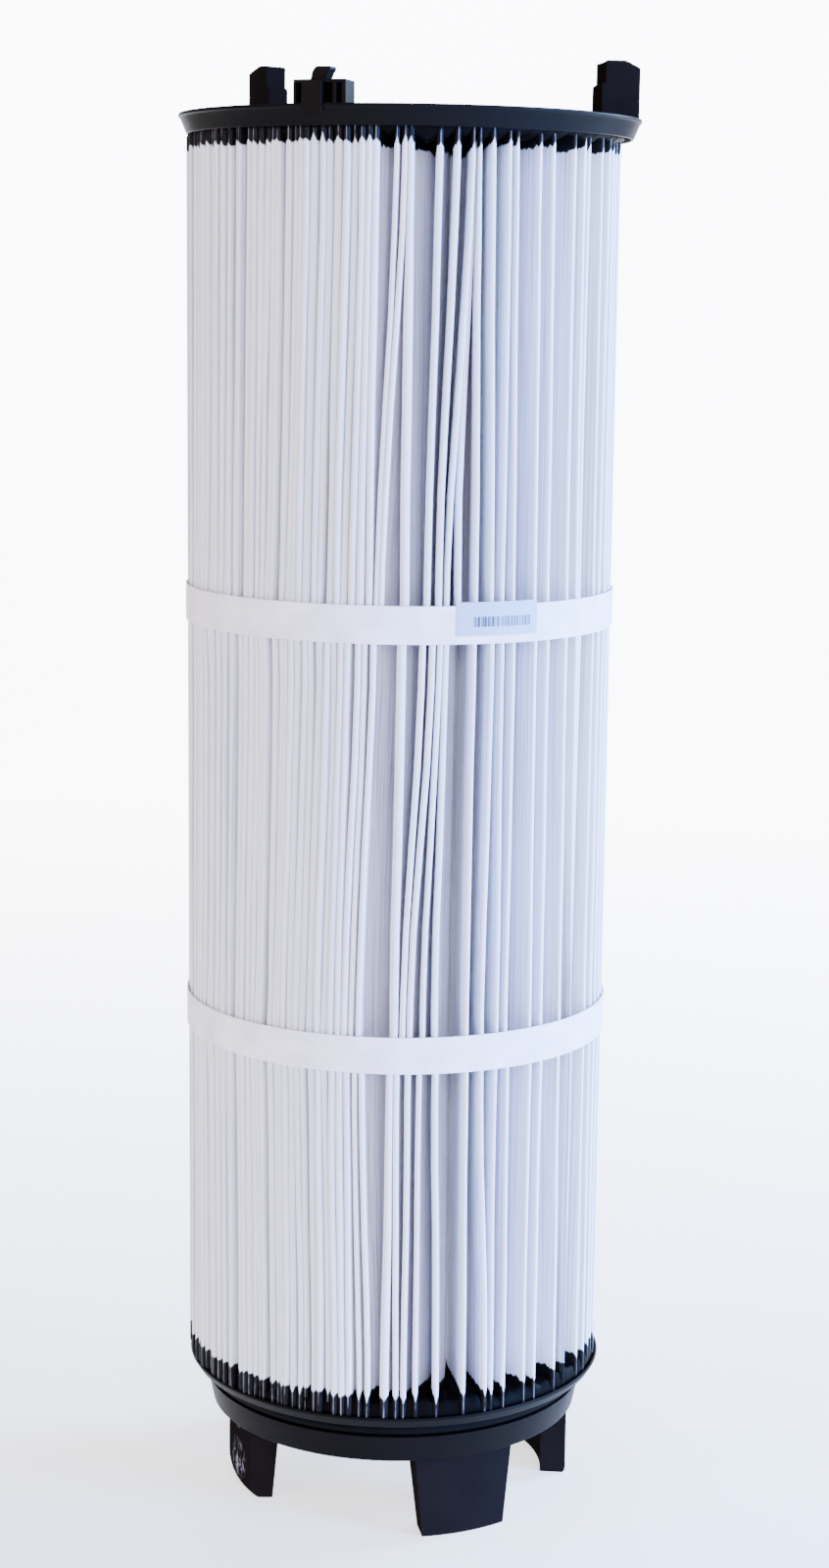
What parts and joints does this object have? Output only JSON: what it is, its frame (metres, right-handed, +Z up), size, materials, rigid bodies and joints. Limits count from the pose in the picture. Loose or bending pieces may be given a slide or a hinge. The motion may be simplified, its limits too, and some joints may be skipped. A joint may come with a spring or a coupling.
{
  "type": "pool filter cartridge",
  "caption": "Tall pleated cylinder filter cartridge with open black end caps, locating lugs and a latch on top, a sealing ring and feet below, and white straps round the pleats.",
  "frame": {"origin": "on the cartridge's axis, in the plane of the foot tips", "axes": "+Z up along the cartridge's axis; -Y faces the side with the front foot and the latch keeper; +X to that side's right"},
  "size_m": [0.2628, 0.2628, 0.844],
  "materials": {
    "filter_cloth": "matte",
    "core_plastic": "satin",
    "potting_resin": "semi-gloss",
    "cap_plastic": "semi-gloss moulded",
    "seal_rubber": "matte",
    "strap_web": "matte",
    "label_paper": "satin"
  },
  "bodies": {
    "root": {"pleated_media": "filter_cloth", "core_section_lower": "core_plastic", "core_section_middle": "core_plastic", "core_section_upper": "core_plastic", "bottom_potting": "potting_resin", "top_potting": "potting_resin", "top_end_cap": "cap_plastic", "locating_lug_right": "cap_plastic", "locating_lug_left": "cap_plastic", "latch_keeper": "cap_plastic", "latch_finger": "cap_plastic", "bottom_end_cap": "cap_plastic", "foot_front": "cap_plastic", "foot_right": "cap_plastic", "foot_back": "cap_plastic", "foot_left": "cap_plastic", "bottom_o_ring": "seal_rubber", "strap_upper": "strap_web", "strap_upper_overlap": "strap_web", "strap_lower": "strap_web", "strap_lower_overlap": "strap_web", "label": "label_paper"}
  },
  "joints": []
}
